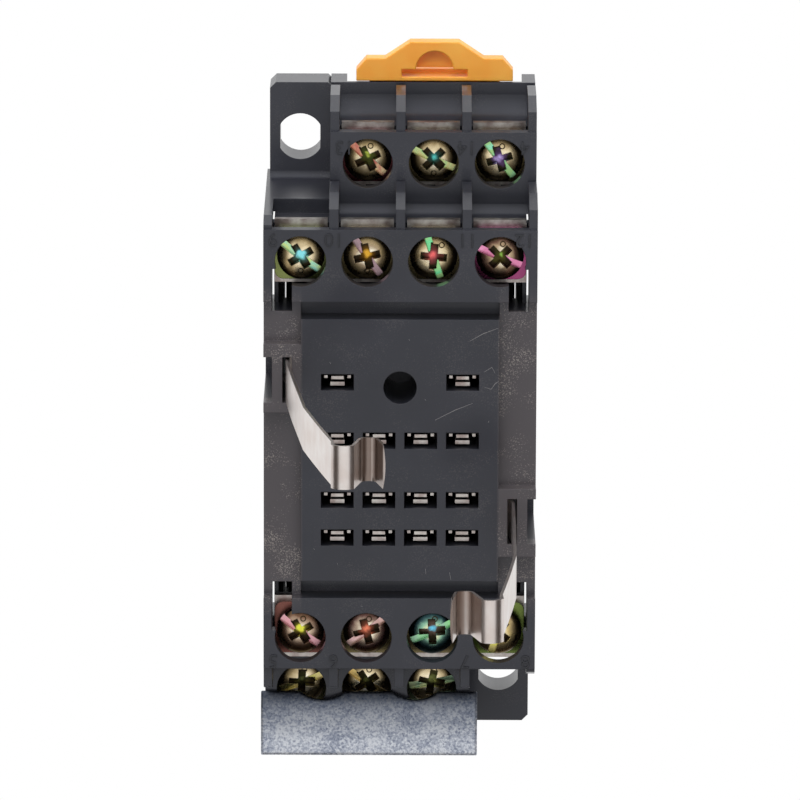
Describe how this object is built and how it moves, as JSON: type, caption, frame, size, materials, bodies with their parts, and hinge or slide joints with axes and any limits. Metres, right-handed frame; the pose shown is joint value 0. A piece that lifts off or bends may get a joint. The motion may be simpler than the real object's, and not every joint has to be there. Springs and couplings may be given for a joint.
{
  "type": "relay socket",
  "caption": "Rail-mounted relay socket with two tiers of finger-guarded screw terminals at each end, slots for blade contacts, two spring hold-down clips and an orange rail slider.",
  "frame": {"origin": "in the back plane, at the centre of the rail notch and of the two mounting holes", "axes": "+X across the socket, +Y along it towards the rail slider, +Z out of the back towards the relay seat"},
  "size_m": [0.0292, 0.0756, 0.0671],
  "materials": {
    "moulding": "charcoal moulded thermoplastic, semi-gloss",
    "back_moulding": "charcoal moulded thermoplastic, matte",
    "orange_plastic": "orange moulded thermoplastic, semi-gloss",
    "nickel_spring": "bright nickel-plated spring steel",
    "zinc_sheet": "grainy zinc-plated sheet steel",
    "contact_brass": "tarnished tin-plated brass strip",
    "passivated_steel": "yellow-passivated zinc-plated steel, iridescent"
  },
  "bodies": {
    "socket": {"housing": "moulding", "base": "back_moulding", "steel_guard": "zinc_sheet", "terminal_1": "contact_brass", "terminal_2": "contact_brass", "terminal_3": "contact_brass", "terminal_4": "contact_brass", "terminal_5": "contact_brass", "terminal_6": "contact_brass", "terminal_7": "contact_brass", "terminal_8": "contact_brass", "terminal_9": "contact_brass", "terminal_10": "contact_brass", "terminal_11": "contact_brass", "terminal_12": "contact_brass", "terminal_13": "contact_brass", "terminal_14": "contact_brass", "washer_1": "passivated_steel", "washer_2": "passivated_steel", "washer_3": "passivated_steel", "washer_4": "passivated_steel", "washer_5": "passivated_steel", "washer_6": "passivated_steel", "washer_7": "passivated_steel", "washer_8": "passivated_steel", "washer_9": "passivated_steel", "washer_10": "passivated_steel", "washer_11": "passivated_steel", "washer_12": "passivated_steel", "washer_13": "passivated_steel", "washer_14": "passivated_steel", "screw_1": "passivated_steel", "screw_2": "passivated_steel", "screw_3": "passivated_steel", "screw_4": "passivated_steel", "screw_5": "passivated_steel", "screw_6": "passivated_steel", "screw_7": "passivated_steel", "screw_8": "passivated_steel", "screw_9": "passivated_steel", "screw_10": "passivated_steel", "screw_11": "passivated_steel", "screw_12": "passivated_steel", "screw_13": "passivated_steel", "screw_14": "passivated_steel"},
    "slider": {"rail_slider": "orange_plastic"},
    "left_clip": {"clip_left": "nickel_spring"},
    "right_clip": {"clip_right": "nickel_spring"}
  },
  "joints": [
    {"name": "slider_pull", "type": "slide", "parent": "socket", "child": "slider", "axis": [0, 1, 0], "range_m": [0, 0.0025], "stiffness_N_per_m": 400, "springref_m": -0.0005},
    {"name": "left_clip_swing", "type": "hinge", "parent": "socket", "child": "left_clip", "pos_m": [-0.0119, 0.00765, 0.0267], "axis": [0, -1, 0], "range_deg": [0, 22], "stiffness_Nm_per_rad": 0.05},
    {"name": "right_clip_swing", "type": "hinge", "parent": "socket", "child": "right_clip", "pos_m": [0.0119, -0.00765, 0.0267], "axis": [0, 1, 0], "range_deg": [-5, 17], "stiffness_Nm_per_rad": 0.05}
  ]
}
